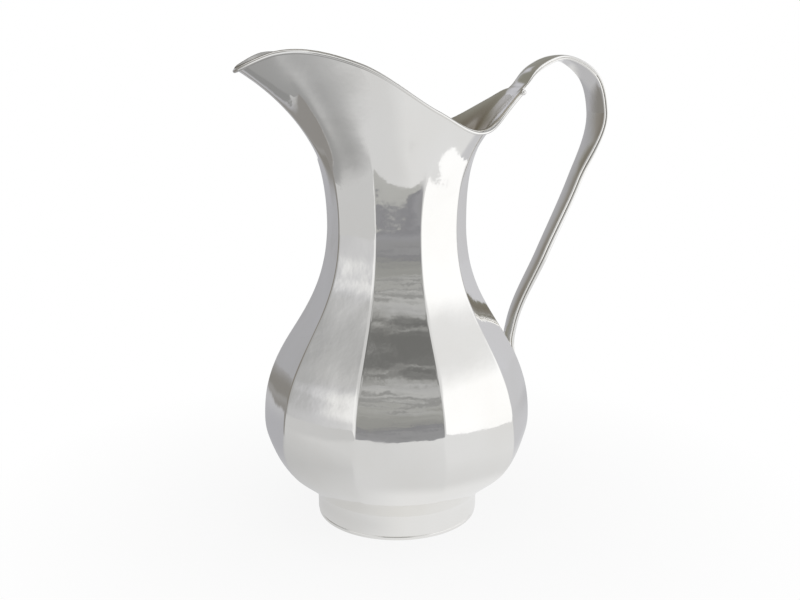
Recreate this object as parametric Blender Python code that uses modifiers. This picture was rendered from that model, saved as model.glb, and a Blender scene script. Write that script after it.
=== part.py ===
"""Silver water pitcher: a raised body of ten flat panels whose neck opens into a long pouring lip at the front and a
raised tongue at the back, a wired rim, a foot ring, and a strap handle of two strips that springs from the tongue.

Units are metres, +Z is up, the spout points to -X and the handle to +X. The pitcher is modelled about the axis of its
body, and one empty then carries it so that the origin lies on the table under the middle of its outline.
"""

import math

import bmesh
import bpy
from mathutils import Vector

NAME = "silver_pitcher"

# Sheet metal and the gap that soldered neighbours keep
WALL = 0.0009
CLEARANCE = 0.0003

# Foot
FOOT_RADIUS = 0.0422
FOOT_STRIP = 0.0013
FOOT_HEIGHT = 0.0120
FOOT_WIRE_HEIGHT = 0.0022
FOOT_WIRE_WIDTH = 0.0021
FOOT_SEGMENTS = 64

# Base plate, domed up inside the foot
BASE_DOME = 0.0025
BASE_RINGS = 5

# Body profile, measured at the ribs between the panels
PANELS = 10
BASE_RADIUS = 0.0424
BASE_SPREAD = 0.0083
BASE_RISE = 0.0127
BELLY_RADIUS = 0.0698
BELLY_HEIGHT = 0.0516
BELLY_FULLNESS_BELOW = 0.0234
BELLY_FULLNESS_ABOVE = 0.0462
NECK_RADIUS = 0.0354
NECK_HEIGHT = 0.1549
NECK_FULLNESS = 0.0498
RIB_START_HEIGHT = 0.0440
PANEL_CROWN = 0.22
PANEL_CROWN_TOP = 0.0900

# Mouth: heights above the table, reaches from the body's axis and half widths of the rim
SPOUT_REACH = 0.0799
SPOUT_TIP_HEIGHT = 0.2303
SPOUT_ARCH_X = 0.0645
SPOUT_ARCH_HALF_WIDTH = 0.0178
SPOUT_ARCH_HEIGHT = 0.2375
SHOULDER_X = 0.0300
SHOULDER_HALF_WIDTH = 0.0360
SHOULDER_HEIGHT = 0.2323
SIDE_X = 0.0060
MOUTH_HALF_WIDTH = 0.0396
SIDE_HEIGHT = 0.2116
DIP_X = 0.0316
DIP_HALF_WIDTH = 0.0335
DIP_HEIGHT = 0.2016
TONGUE_X = 0.0570
TONGUE_HALF_WIDTH = 0.0150
TONGUE_HEIGHT = 0.2150
ROOT_REACH = 0.0660
ROOT_HALF_WIDTH = 0.0104
ROOT_HEIGHT = 0.2205
ROOT_CORNER_SETBACK = 0.0028
ROOT_CORNER_DROP = 0.0012

# One rim station for each rib on one side: angle from the handle, place and outward lean in degrees
RIM_STATIONS = (
    (0.0, (ROOT_REACH, 0.0, ROOT_HEIGHT), 52.0),
    (6.0, (ROOT_REACH, 0.6 * ROOT_HALF_WIDTH, ROOT_HEIGHT), 52.0),
    (12.0, (ROOT_REACH - ROOT_CORNER_SETBACK, ROOT_HALF_WIDTH, ROOT_HEIGHT - ROOT_CORNER_DROP), 51.0),
    (18.0, (TONGUE_X, TONGUE_HALF_WIDTH, TONGUE_HEIGHT), 52.0),
    (54.0, (DIP_X, DIP_HALF_WIDTH, DIP_HEIGHT), 34.0),
    (90.0, (SIDE_X, MOUTH_HALF_WIDTH, SIDE_HEIGHT), 10.0),
    (126.0, (-SHOULDER_X, SHOULDER_HALF_WIDTH, SHOULDER_HEIGHT), 18.0),
    (162.0, (-SPOUT_ARCH_X, SPOUT_ARCH_HALF_WIDTH, SPOUT_ARCH_HEIGHT), 34.0),
    (180.0, (-SPOUT_REACH, 0.0, SPOUT_TIP_HEIGHT), 59.0),
)
PANEL_FADE_START = 0.30
PANEL_FADE_END = 0.70
LIP_EASE_AT_NECK = 1.06
LIP_EASE_AT_RIM = 1.29

# Rim wire and the beads that end it
RIM_WIRE_RADIUS = 0.00085
BEAD_RADIUS = 0.0016

# Handle: places of the seam between its two strips, in the plane of symmetry
HANDLE_RISE = (0.0727, 0.2293)
HANDLE_TOP = (0.0890, 0.2362)
HANDLE_SHOULDER = (0.1072, 0.2265)
HANDLE_REACH = (0.1130, 0.2085)
HANDLE_GRIP = (0.1005, 0.1727)
HANDLE_RUN = (0.0826, 0.1345)
HANDLE_BEND = (0.0657, 0.0968)
HANDLE_DROP = (0.0641, 0.0872)
TAIL_LANDING_HEIGHT = 0.0775
TAIL_TIP_HEIGHT = 0.0685
TAIL_LIFT = 0.0010
HANDLE_ROOT_WIDTH = 0.0168
HANDLE_TOP_WIDTH = 0.0150
HANDLE_SHOULDER_WIDTH = 0.0188
HANDLE_REACH_WIDTH = 0.0188
HANDLE_GRIP_WIDTH = 0.0110
HANDLE_RUN_WIDTH = 0.0096
HANDLE_BEND_WIDTH = 0.0088
TAIL_WIDTH = 0.0120
TAIL_TIP_WIDTH = 0.0050

# Thickness of the handle's strips: the inner one is even, the outer one swells towards the grip
STRIP_CROWN = 0.0003
INNER_STRIP_THICKNESS = 0.0015
HANDLE_ROOT_THICKNESS = 0.0015
HANDLE_SHOULDER_THICKNESS = 0.0022
HANDLE_REACH_THICKNESS = 0.0020
HANDLE_GRIP_THICKNESS = 0.0029
HANDLE_RUN_THICKNESS = 0.0031
HANDLE_BEND_THICKNESS = 0.0023
TAIL_THICKNESS = 0.0019
TAIL_TIP_THICKNESS = 0.0012

# Faceting
COLUMNS_PER_PANEL = 6
BELLY_ROWS = 7
NECK_ROWS = 12
LIP_ROWS = 11
HANDLE_STEPS = 48


def smooth_step(value):
    """0 below 0, 1 above 1 and an even ease between them."""
    value = min(max(value, 0.0), 1.0)
    return value * value * (3.0 - 2.0 * value)


def bezier(start, start_handle, end_handle, end, t):
    """A point on a cubic Bezier curve."""
    s = 1.0 - t
    return s**3 * start + 3 * s * s * t * start_handle + 3 * s * t * t * end_handle + t**3 * end


def spline(knots, points, t):
    """A smooth curve through the points, each met at its knot, with the slope at a point shared by its neighbours."""
    last = len(knots) - 1

    def chord(i):
        return (points[i + 1] - points[i]) / (knots[i + 1] - knots[i])

    def slope(i):
        if i == 0:
            return chord(0)
        if i == last:
            return chord(last - 1)
        before = knots[i] - knots[i - 1]
        after = knots[i + 1] - knots[i]
        return (chord(i) * before + chord(i - 1) * after) / (before + after)

    i = max(k for k in range(last) if k == 0 or knots[k] <= t)
    span = knots[i + 1] - knots[i]
    u = (t - knots[i]) / span
    ease = smooth_step(u)
    lead = u * (1.0 - u) ** 2 * span
    trail = u * u * (u - 1.0) * span
    return points[i] * (1.0 - ease) + points[i + 1] * ease + slope(i) * lead + slope(i + 1) * trail


def eased(knots, values, t):
    """A value that eases from each knot's value to the next and never passes beyond them."""
    i = max(k for k in range(len(knots) - 1) if k == 0 or knots[k] <= t)
    ease = smooth_step((t - knots[i]) / (knots[i + 1] - knots[i]))
    return values[i] * (1.0 - ease) + values[i + 1] * ease


def finish(obj, material):
    """Files the object under the pitcher's collection with its material and smooth round faces."""
    collection.objects.link(obj)
    obj.data.materials.append(material)
    obj.parent = pitcher
    if obj.type == "MESH":
        obj.data.shade_smooth()
        obj.data.set_sharp_from_angle(angle=math.radians(20))
    return obj


def silver(name, colour, roughness):
    """A polished silver with its own tone."""
    material = bpy.data.materials.new(name)
    material.use_nodes = True
    shader = material.node_tree.nodes["Principled BSDF"]
    shader.inputs["Base Color"].default_value = (*colour, 1.0)
    shader.inputs["Metallic"].default_value = 1.0
    shader.inputs["Roughness"].default_value = roughness
    return material


def mesh_from_rings(name, rings, caps=False):
    """A skin lofted through rings of equally many points, capped at both ends if asked."""
    mesh = bmesh.new()
    grid = [[mesh.verts.new(point) for point in ring] for ring in rings]
    count = len(rings[0])
    for lower, upper in zip(grid, grid[1:]):
        for i in range(count):
            j = (i + 1) % count
            mesh.faces.new((lower[i], lower[j], upper[j], upper[i]))
    if caps:
        mesh.faces.new(reversed(grid[0]))
        mesh.faces.new(grid[-1])
        bmesh.ops.recalc_face_normals(mesh, faces=mesh.faces)
    data = bpy.data.meshes.new(name)
    mesh.to_mesh(data)
    mesh.free()
    return bpy.data.objects.new(name, data)


def turned(name, profile, closed):
    """A profile of (radius, height) points, run down its outer side, turned about the body's axis."""
    data = bpy.data.meshes.new(name)
    points = [(radius, 0.0, height) for radius, height in profile]
    edges = [(i, i + 1) for i in range(len(points) - 1)]
    if closed:
        edges.append((len(points) - 1, 0))
    data.from_pydata(points, edges, [])
    obj = bpy.data.objects.new(name, data)
    screw = obj.modifiers.new("Turn", "SCREW")
    screw.steps = FOOT_SEGMENTS
    screw.render_steps = FOOT_SEGMENTS
    screw.use_merge_vertices = True
    screw.merge_threshold = 0.00001
    return obj


# Body

def rib_radius(height):
    """The body's radius at a rib, from the base up to the neck."""
    lower = (
        Vector((BASE_RADIUS, FOOT_HEIGHT)),
        Vector((BASE_RADIUS + BASE_SPREAD, FOOT_HEIGHT + BASE_RISE)),
        Vector((BELLY_RADIUS, BELLY_HEIGHT - BELLY_FULLNESS_BELOW)),
        Vector((BELLY_RADIUS, BELLY_HEIGHT)),
    )
    upper = (
        Vector((BELLY_RADIUS, BELLY_HEIGHT)),
        Vector((BELLY_RADIUS, BELLY_HEIGHT + BELLY_FULLNESS_ABOVE)),
        Vector((NECK_RADIUS, NECK_HEIGHT - NECK_FULLNESS)),
        Vector((NECK_RADIUS, NECK_HEIGHT)),
    )
    curve = lower if height < BELLY_HEIGHT else upper
    low, high = 0.0, 1.0
    for _ in range(40):
        middle = (low + high) / 2
        if bezier(*curve, middle).y < height:
            low = middle
        else:
            high = middle
    return bezier(*curve, low).x


def section_point(radius, height, angle, roundness):
    """A point of the body's ten-sided section, with its panels swollen towards a circle by the roundness."""
    half = math.pi / PANELS
    offset = (angle + half) % (2 * half) - half
    flat = radius * math.cos(half) / math.cos(offset)
    reach = flat + roundness * (radius - flat)
    return Vector((reach * math.cos(angle), reach * math.sin(angle), height))


def belly_point(height, angle):
    """A point on the outside of the body between its base and its neck."""
    crowned = PANEL_CROWN * smooth_step((PANEL_CROWN_TOP - height) / (PANEL_CROWN_TOP - RIB_START_HEIGHT))
    ribbed = smooth_step((height - FOOT_HEIGHT) / (RIB_START_HEIGHT - FOOT_HEIGHT))
    roundness = crowned + (1.0 - PANEL_CROWN) * (1.0 - ribbed)
    return section_point(rib_radius(height), height, angle, roundness)


def rim_point(angle):
    """The outer edge of the lip at an angle in radians, and the lean of the wall there."""
    degrees = math.degrees(angle)
    side = 1.0 if degrees >= 0.0 else -1.0
    before = RIM_STATIONS[1]
    after = RIM_STATIONS[-2]
    mirror = Vector((1.0, -1.0, 1.0))
    knots = [-before[0]] + [station[0] for station in RIM_STATIONS] + [360.0 - after[0]]
    places = [Vector(station[1]) for station in RIM_STATIONS]
    places = [Vector(before[1]) * mirror] + places + [Vector(after[1]) * mirror]
    leans = [before[2]] + [station[2] for station in RIM_STATIONS] + [after[2]]
    place = spline(knots, places, abs(degrees))
    place.y *= side
    return place, math.radians(spline(knots, leans, abs(degrees)))


def rim_frame(angle):
    """The lip's edge at an angle: its point, the wall's direction there and the wall's outward normal."""
    step = math.radians(0.5)
    point, lean = rim_point(angle)
    along = (rim_point(angle + step)[0] - rim_point(angle - step)[0]).normalized()
    outward = Vector((math.cos(angle), math.sin(angle), 0.0))
    rise = outward * math.sin(lean) + Vector((0.0, 0.0, math.cos(lean)))
    normal = along.cross(rise).normalized()
    return point, rise, normal


def lip_point(t, angle):
    """A point on the outside of the lip, from the neck at 0 to the rim at 1, where the ribs fade out."""
    roundness = smooth_step((t - PANEL_FADE_START) / (PANEL_FADE_END - PANEL_FADE_START))
    start = section_point(NECK_RADIUS, NECK_HEIGHT, angle, roundness)
    end, rise, _ = rim_frame(angle)
    chord = (end - start).length
    ease = smooth_step(t)
    lead = t * (1.0 - t) ** 2 * chord * LIP_EASE_AT_NECK
    trail = t * t * (t - 1.0) * chord * LIP_EASE_AT_RIM
    return start * (1.0 - ease) + end * ease + Vector((0.0, 0.0, lead)) + rise * trail


def column_angles():
    """The angles of the body's upright lines of faces, from -180 degrees, with one on each rib."""
    count = PANELS * COLUMNS_PER_PANEL
    return [2.0 * math.pi * i / count - math.pi for i in range(count)]


def body_shell():
    angles = column_angles()
    belly_heights = [
        FOOT_HEIGHT + (BELLY_HEIGHT - FOOT_HEIGHT) * (i / BELLY_ROWS) ** 1.5 for i in range(BELLY_ROWS)
    ]
    neck_heights = [
        BELLY_HEIGHT + (NECK_HEIGHT - BELLY_HEIGHT) * i / NECK_ROWS for i in range(NECK_ROWS)
    ]
    rings = [[belly_point(height, angle) for angle in angles] for height in belly_heights + neck_heights]
    rings += [[lip_point(i / LIP_ROWS, angle) for angle in angles] for i in range(LIP_ROWS + 1)]
    obj = mesh_from_rings("body_shell", rings)
    sheet = obj.modifiers.new("Sheet", "SOLIDIFY")
    sheet.thickness = WALL
    sheet.offset = -1.0
    sheet.use_even_offset = True
    return finish(obj, silver("body_silver", (0.90, 0.89, 0.87), 0.08))


# Foot

def base_plate():
    radius = BASE_RADIUS - WALL
    top = [(radius * i / BASE_RINGS, BASE_DOME * (1.0 - (i / BASE_RINGS) ** 2)) for i in range(BASE_RINGS + 1)]
    upper = [(r, FOOT_HEIGHT + rise + WALL) for r, rise in top]
    lower = [(r, FOOT_HEIGHT + rise) for r, rise in reversed(top)]
    obj = turned("base_plate", upper + lower, closed=False)
    return finish(obj, silver("base_silver", (0.82, 0.81, 0.78), 0.25))


def foot_ring():
    inner = FOOT_RADIUS - FOOT_STRIP
    top = FOOT_HEIGHT - CLEARANCE
    bottom = FOOT_WIRE_HEIGHT + CLEARANCE
    profile = [(FOOT_RADIUS, top), (FOOT_RADIUS, bottom), (inner, bottom), (inner, top)]
    return finish(turned("foot_ring", profile, closed=True), silver("foot_silver", (0.90, 0.89, 0.87), 0.10))


def foot_wire():
    """A half-round wire under the foot ring, with a flat underside to stand on."""
    outer = FOOT_RADIUS - CLEARANCE
    inner = outer - FOOT_WIRE_WIDTH
    round_over = FOOT_WIRE_HEIGHT / 2
    profile = [(outer - round_over / 2, FOOT_WIRE_HEIGHT)]
    profile += [
        (outer - round_over * (1.0 - math.cos(turn)), round_over * (1.0 + math.sin(turn)))
        for turn in (math.radians(30), 0.0, math.radians(-30))
    ]
    profile += [(outer - round_over / 2, 0.0), (inner, 0.0), (inner, FOOT_WIRE_HEIGHT)]
    return finish(turned("foot_wire", profile, closed=True), silver("foot_wire_silver", (0.88, 0.87, 0.85), 0.12))


# Rim

def rim_wire_point(angle):
    """The middle of the rim wire, which lies against the outside of the lip with its top level with the edge."""
    point, rise, normal = rim_frame(angle)
    return point - rise * RIM_WIRE_RADIUS + normal * (CLEARANCE + RIM_WIRE_RADIUS)


def bead_angle():
    """The rim's angle, beside the handle's root, where the beads stand."""
    return math.radians(RIM_STATIONS[2][0])


def rim_wire():
    ends = bead_angle()
    angles = sorted(angle % (2.0 * math.pi) for angle in column_angles())
    angles = [angle for angle in angles if ends - 1e-6 <= angle <= 2.0 * math.pi - ends + 1e-6]
    path = [rim_wire_point(angle if angle <= math.pi else angle - 2.0 * math.pi) for angle in angles]
    data = bpy.data.curves.new("rim_wire", "CURVE")
    data.dimensions = "3D"
    data.bevel_depth = RIM_WIRE_RADIUS
    data.bevel_resolution = 2
    data.use_fill_caps = True
    line = data.splines.new("POLY")
    line.points.add(len(path) - 1)
    for point, place in zip(line.points, path):
        point.co = (*place, 1.0)
    line.use_smooth = True
    return finish(bpy.data.objects.new("rim_wire", data), silver("rim_silver", (0.91, 0.90, 0.88), 0.07))


def rim_bead(name, side):
    """The ball on the corner of the tongue, clear of the lip's edge by the soldered gap."""
    point, rise, _ = rim_frame(side * bead_angle())
    mesh = bmesh.new()
    bmesh.ops.create_uvsphere(mesh, u_segments=16, v_segments=10, radius=BEAD_RADIUS)
    data = bpy.data.meshes.new(name)
    mesh.to_mesh(data)
    mesh.free()
    obj = bpy.data.objects.new(name, data)
    obj.location = point + rise * (BEAD_RADIUS + CLEARANCE)
    return finish(obj, silver(name + "_silver", (0.91, 0.90, 0.88), 0.07))


# Handle

def panel_seat(height):
    """The back panel's middle line at a height, with its outward normal."""
    step = 0.0005
    place = belly_point(height, 0.0)
    along = belly_point(height + step, 0.0) - belly_point(height - step, 0.0)
    return place, Vector((along.z, 0.0, -along.x)).normalized()


def handle_stations():
    """Places along the seam between the handle's strips, from the tongue to the tip of the tail, each with the
    strips' width and the outer strip's thickness."""
    seam_offset = INNER_STRIP_THICKNESS + CLEARANCE / 2
    root, rise, normal = rim_frame(0.0)
    root = root + rise * CLEARANCE - normal * seam_offset
    stations = [
        (root - rise * HANDLE_ROOT_THICKNESS, HANDLE_ROOT_WIDTH, HANDLE_ROOT_THICKNESS),
        (root, HANDLE_ROOT_WIDTH, HANDLE_ROOT_THICKNESS),
    ]
    for (x, z), width, thickness in (
        (HANDLE_RISE, (HANDLE_ROOT_WIDTH + HANDLE_TOP_WIDTH) / 2, HANDLE_ROOT_THICKNESS),
        (HANDLE_TOP, HANDLE_TOP_WIDTH, HANDLE_ROOT_THICKNESS),
        (HANDLE_SHOULDER, HANDLE_SHOULDER_WIDTH, HANDLE_SHOULDER_THICKNESS),
        (HANDLE_REACH, HANDLE_REACH_WIDTH, HANDLE_REACH_THICKNESS),
        (HANDLE_GRIP, HANDLE_GRIP_WIDTH, HANDLE_GRIP_THICKNESS),
        (HANDLE_RUN, HANDLE_RUN_WIDTH, HANDLE_RUN_THICKNESS),
        (HANDLE_BEND, HANDLE_BEND_WIDTH, HANDLE_BEND_THICKNESS),
        (HANDLE_DROP, HANDLE_BEND_WIDTH, HANDLE_BEND_THICKNESS),
    ):
        stations.append((Vector((x, 0.0, z)), width, thickness))
    middle = (TAIL_LANDING_HEIGHT + TAIL_TIP_HEIGHT) / 2
    for height, lift, width, thickness in (
        (TAIL_LANDING_HEIGHT, TAIL_LIFT, TAIL_WIDTH, TAIL_THICKNESS),
        (middle, 0.0, TAIL_WIDTH, TAIL_THICKNESS),
        (TAIL_TIP_HEIGHT, 0.0, TAIL_TIP_WIDTH, TAIL_TIP_THICKNESS),
    ):
        seat, outward = panel_seat(height)
        stations.append((seat + outward * (seam_offset + CLEARANCE + lift), width, thickness))
    return stations


def strip_section(thickness):
    """Half of the handle's section: places across its width, from -1 to 1, and heights above the seam."""
    edge = thickness - STRIP_CROWN
    crown = [(a / 4, edge + STRIP_CROWN * (1.0 - (a / 4) ** 2)) for a in range(-3, 4)]
    corner = [(1.0, 0.6 * edge), (1.0, 0.0)]
    return [(-1.0, 0.0), (-1.0, 0.6 * edge)] + crown + corner


def handle_strip(name, side, material):
    """One strip of the handle: flat at the seam and crowned on the side away from it, +1 outside and -1 inside."""
    stations = handle_stations()
    places = [place for place, _, _ in stations]
    widths = [width for _, width, _ in stations]
    thicknesses = [outer if side > 0.0 else INNER_STRIP_THICKNESS for _, _, outer in stations]
    knots = [0.0]
    for before, after in zip(places, places[1:]):
        knots.append(knots[-1] + (after - before).length)
    start = knots[1]
    length = knots[-1] - start
    rings = []
    for i in range(HANDLE_STEPS + 1):
        t = start + length * i / HANDLE_STEPS
        step = length / HANDLE_STEPS / 4
        place = spline(knots, places, t)
        half = eased(knots, widths, t) / 2
        thickness = eased(knots, thicknesses, t)
        along = spline(knots, places, min(t + step, knots[-1])) - spline(knots, places, t - step)
        normal = Vector((-along.z, 0.0, along.x)).normalized() * side
        seam = place + normal * CLEARANCE / 2
        ring = []
        for across, rise in strip_section(thickness):
            ring.append(seam + Vector((0.0, across * half, 0.0)) + normal * rise)
        rings.append(ring)
    return finish(mesh_from_rings(name, rings, caps=True), material)


def centre_on_table():
    """Moves the whole pitcher along X until its outline is centred over the origin."""
    bpy.context.view_layer.update()
    graph = bpy.context.evaluated_depsgraph_get()
    reach = []
    for obj in collection.objects:
        if obj.type != "EMPTY":
            shape = obj.evaluated_get(graph).to_mesh()
            reach += [(obj.matrix_world @ vertex.co).x for vertex in shape.vertices]
            obj.evaluated_get(graph).to_mesh_clear()
    pitcher.location.x = -(min(reach) + max(reach)) / 2


for old in list(bpy.data.objects):
    bpy.data.objects.remove(old, do_unlink=True)
collection = bpy.data.collections.new(NAME)
bpy.context.scene.collection.children.link(collection)
pitcher = bpy.data.objects.new("pitcher", None)
collection.objects.link(pitcher)

body_shell()
base_plate()
foot_ring()
foot_wire()
rim_wire()
rim_bead("rim_bead_near", -1.0)
rim_bead("rim_bead_far", 1.0)
handle_strip("handle_outer_strip", 1.0, silver("handle_outer_silver", (0.90, 0.89, 0.87), 0.08))
handle_strip("handle_inner_strip", -1.0, silver("handle_inner_silver", (0.88, 0.87, 0.85), 0.10))
centre_on_table()
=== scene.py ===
"""Looks of the silver pitcher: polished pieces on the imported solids, a soft studio and the camera."""

import math

import bmesh
import bpy
from mathutils import Matrix, Vector, noise


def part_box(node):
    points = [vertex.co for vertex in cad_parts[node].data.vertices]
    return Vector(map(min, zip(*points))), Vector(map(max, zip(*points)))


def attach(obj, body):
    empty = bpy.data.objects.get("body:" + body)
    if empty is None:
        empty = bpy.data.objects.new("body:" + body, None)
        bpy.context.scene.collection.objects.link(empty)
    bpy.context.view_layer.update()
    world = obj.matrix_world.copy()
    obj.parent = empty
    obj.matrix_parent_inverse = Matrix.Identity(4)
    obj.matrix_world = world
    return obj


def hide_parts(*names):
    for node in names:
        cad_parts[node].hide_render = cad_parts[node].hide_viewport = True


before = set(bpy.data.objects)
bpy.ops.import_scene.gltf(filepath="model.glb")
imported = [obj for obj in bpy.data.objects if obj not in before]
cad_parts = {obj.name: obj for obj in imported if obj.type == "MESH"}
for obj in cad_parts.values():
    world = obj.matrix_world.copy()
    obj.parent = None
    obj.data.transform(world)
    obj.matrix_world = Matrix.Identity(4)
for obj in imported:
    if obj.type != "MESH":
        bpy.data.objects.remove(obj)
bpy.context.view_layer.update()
foot_low, foot_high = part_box("foot_ring")
AXIS = Vector(((foot_low.x + foot_high.x) / 2, 0.0, 0.0))

# Dimensions of the solids, in metres
WALL = 0.0009
FOOT_RADIUS = 0.0422
FOOT_STRIP = 0.0013
FOOT_HEIGHT = 0.0120
FOOT_WIRE_HEIGHT = 0.0022
FOOT_WIRE_WIDTH = 0.0021
CLEARANCE = 0.0003
BASE_DOME = 0.0025
PANELS = 10
BASE_RADIUS = 0.0424
BASE_SPREAD = 0.0083
BASE_RISE = 0.0127
BELLY_RADIUS = 0.0698
BELLY_HEIGHT = 0.0516
BELLY_FULLNESS_BELOW = 0.0234
BELLY_FULLNESS_ABOVE = 0.0462
NECK_RADIUS = 0.0354
NECK_HEIGHT = 0.1549
NECK_FULLNESS = 0.0498
RIB_START_HEIGHT = 0.0440
PANEL_CROWN = 0.22
PANEL_CROWN_TOP = 0.0900
RIM_STATIONS = (
    (0.0, (0.0660, 0.0, 0.2205), 52.0),
    (6.0, (0.0660, 0.00624, 0.2205), 52.0),
    (12.0, (0.0632, 0.0104, 0.2193), 51.0),
    (18.0, (0.0570, 0.0150, 0.2150), 52.0),
    (54.0, (0.0316, 0.0335, 0.2016), 34.0),
    (90.0, (0.0060, 0.0396, 0.2116), 10.0),
    (126.0, (-0.0300, 0.0360, 0.2323), 18.0),
    (162.0, (-0.0645, 0.0178, 0.2375), 34.0),
    (180.0, (-0.0799, 0.0, 0.2303), 59.0),
)
PANEL_FADE_START = 0.30
PANEL_FADE_END = 0.70
LIP_EASE_AT_NECK = 1.06
LIP_EASE_AT_RIM = 1.29
RIM_WIRE_RADIUS = 0.00085
BEAD_RADIUS = 0.0014
HANDLE_PATH = (
    ((0.0727, 0.2293), 0.0159, 0.0015),
    ((0.0890, 0.2362), 0.0150, 0.0015),
    ((0.1072, 0.2265), 0.0188, 0.0022),
    ((0.1130, 0.2085), 0.0188, 0.0020),
    ((0.1005, 0.1727), 0.0110, 0.0029),
    ((0.0826, 0.1345), 0.0096, 0.0031),
    ((0.0657, 0.0968), 0.0088, 0.0023),
    ((0.0641, 0.0872), 0.0088, 0.0023),
)
HANDLE_ROOT_WIDTH = 0.0168
HANDLE_ROOT_THICKNESS = 0.0015
TAIL = (
    (0.0775, 0.0010, 0.0100, 0.0019),
    (0.0730, 0.0, 0.0120, 0.0019),
    (0.0685, 0.0, 0.0050, 0.0012),
)
INNER_STRIP_THICKNESS = 0.0015

# Small forms that only the dressed pieces have, in metres or as plain numbers
RIB_FILLET = 0.0022
WAVE_DEPTH = 0.00022
WAVE_SCALE = 38.0
RIPPLE_DEPTH = 0.00006
RIPPLE_SCALE = 95.0
HAMMERED_FROM_FOOT = 0.0120
DOME_PIN = 0.00002
FOOT_FILLET_RISE = 0.0024
FOOT_FILLET_DROP = 0.0040
FOOT_FILLET_SINK = 0.00008
FOOT_ROWS = (0.0060, 0.0042, 0.0030)
FOOT_EDGE_ROUND = 0.0004
FOOT_WIRE_ROUND = 0.0009
RIM_WIRE_GAP = 0.00005
BEAD_LIFT = 0.0004
STRIP_SIDE = 0.55
STRIP_FLAT = 0.97
SEAM_EASE = 0.00018
SEAM_GAP = 0.00010
SEAM_START = 0.0480
OUTER_ROOT_THIN = 0.32
INNER_ROOT_THIN = 0.50
ROOT_LENGTH = 0.0150
TONGUE_REACH = 0.085
TONGUE_STEPS = 24
TONGUE_TAPER = 0.0030
TONGUE_SINK = 0.0002
FEATHER_THIN = 0.08
FEATHER_RISE = 0.70
SOLDER_GAP = 0.00015
SOLDER_FULL = 0.0010
SOLDER_FADE = 0.0030


def smooth_step(value):
    value = min(max(value, 0.0), 1.0)
    return value * value * (3.0 - 2.0 * value)


def arc(start, corner, end, t):
    """A round passage from start to end, drawn towards the corner."""
    return start * (1 - t) ** 2 + corner * 2 * t * (1 - t) + end * t * t


def bezier(start, start_handle, end_handle, end, t):
    s = 1.0 - t
    return s**3 * start + 3 * s * s * t * start_handle + 3 * s * t * t * end_handle + t**3 * end


def spline(knots, points, t):
    """A smooth curve through the points, each met at its knot."""
    last = len(knots) - 1

    def chord(i):
        return (points[i + 1] - points[i]) / (knots[i + 1] - knots[i])

    def slope(i):
        if i == 0:
            return chord(0)
        if i == last:
            return chord(last - 1)
        before = knots[i] - knots[i - 1]
        after = knots[i + 1] - knots[i]
        return (chord(i) * before + chord(i - 1) * after) / (before + after)

    i = max(k for k in range(last) if k == 0 or knots[k] <= t)
    width = knots[i + 1] - knots[i]
    u = (t - knots[i]) / width
    ease = smooth_step(u)
    lead = u * (1.0 - u) ** 2 * width
    trail = u * u * (u - 1.0) * width
    return points[i] * (1.0 - ease) + points[i + 1] * ease + slope(i) * lead + slope(i + 1) * trail


def eased(knots, values, t):
    i = max(k for k in range(len(knots) - 1) if k == 0 or knots[k] <= t)
    ease = smooth_step((t - knots[i]) / (knots[i + 1] - knots[i]))
    return values[i] * (1.0 - ease) + values[i + 1] * ease


# Body surface

def rib_radius(height):
    """How far the ribs stand from the axis at a height, along the curve of the body's side."""
    lower = (
        Vector((BASE_RADIUS, FOOT_HEIGHT)),
        Vector((BASE_RADIUS + BASE_SPREAD, FOOT_HEIGHT + BASE_RISE)),
        Vector((BELLY_RADIUS, BELLY_HEIGHT - BELLY_FULLNESS_BELOW)),
        Vector((BELLY_RADIUS, BELLY_HEIGHT)),
    )
    upper = (
        Vector((BELLY_RADIUS, BELLY_HEIGHT)),
        Vector((BELLY_RADIUS, BELLY_HEIGHT + BELLY_FULLNESS_ABOVE)),
        Vector((NECK_RADIUS, NECK_HEIGHT - NECK_FULLNESS)),
        Vector((NECK_RADIUS, NECK_HEIGHT)),
    )
    curve = lower if height < BELLY_HEIGHT else upper
    low, high = 0.0, 1.0
    for _ in range(40):
        middle = (low + high) / 2
        if bezier(*curve, middle).y < height:
            low = middle
        else:
            high = middle
    return bezier(*curve, low).x


def section_point(radius, height, angle, roundness):
    """A point of the ten-sided section, its ribs rounded over and its panels swollen by the roundness."""
    half = math.pi / PANELS
    offset = abs((angle + half) % (2 * half) - half)
    apothem = radius * math.cos(half)
    inner = apothem - RIB_FILLET
    if offset < math.atan2(inner * math.tan(half), apothem):
        flat = apothem / math.cos(offset)
    else:
        centre = inner / math.cos(half)
        turn = half - offset
        flat = centre * math.cos(turn) + math.sqrt(RIB_FILLET**2 - (centre * math.sin(turn)) ** 2)
    reach = flat + roundness * (radius - flat)
    return Vector((reach * math.cos(angle), reach * math.sin(angle), height))


def belly_point(height, angle, radius=None):
    """A point of the belly: round at the foot, then panelled, the panels crowned lower down."""
    crowned = PANEL_CROWN * smooth_step((PANEL_CROWN_TOP - height) / (PANEL_CROWN_TOP - RIB_START_HEIGHT))
    ribbed = smooth_step((height - FOOT_HEIGHT) / (RIB_START_HEIGHT - FOOT_HEIGHT))
    roundness = crowned + (1.0 - PANEL_CROWN) * (1.0 - ribbed)
    return section_point(radius or rib_radius(height), height, angle, roundness)


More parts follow.
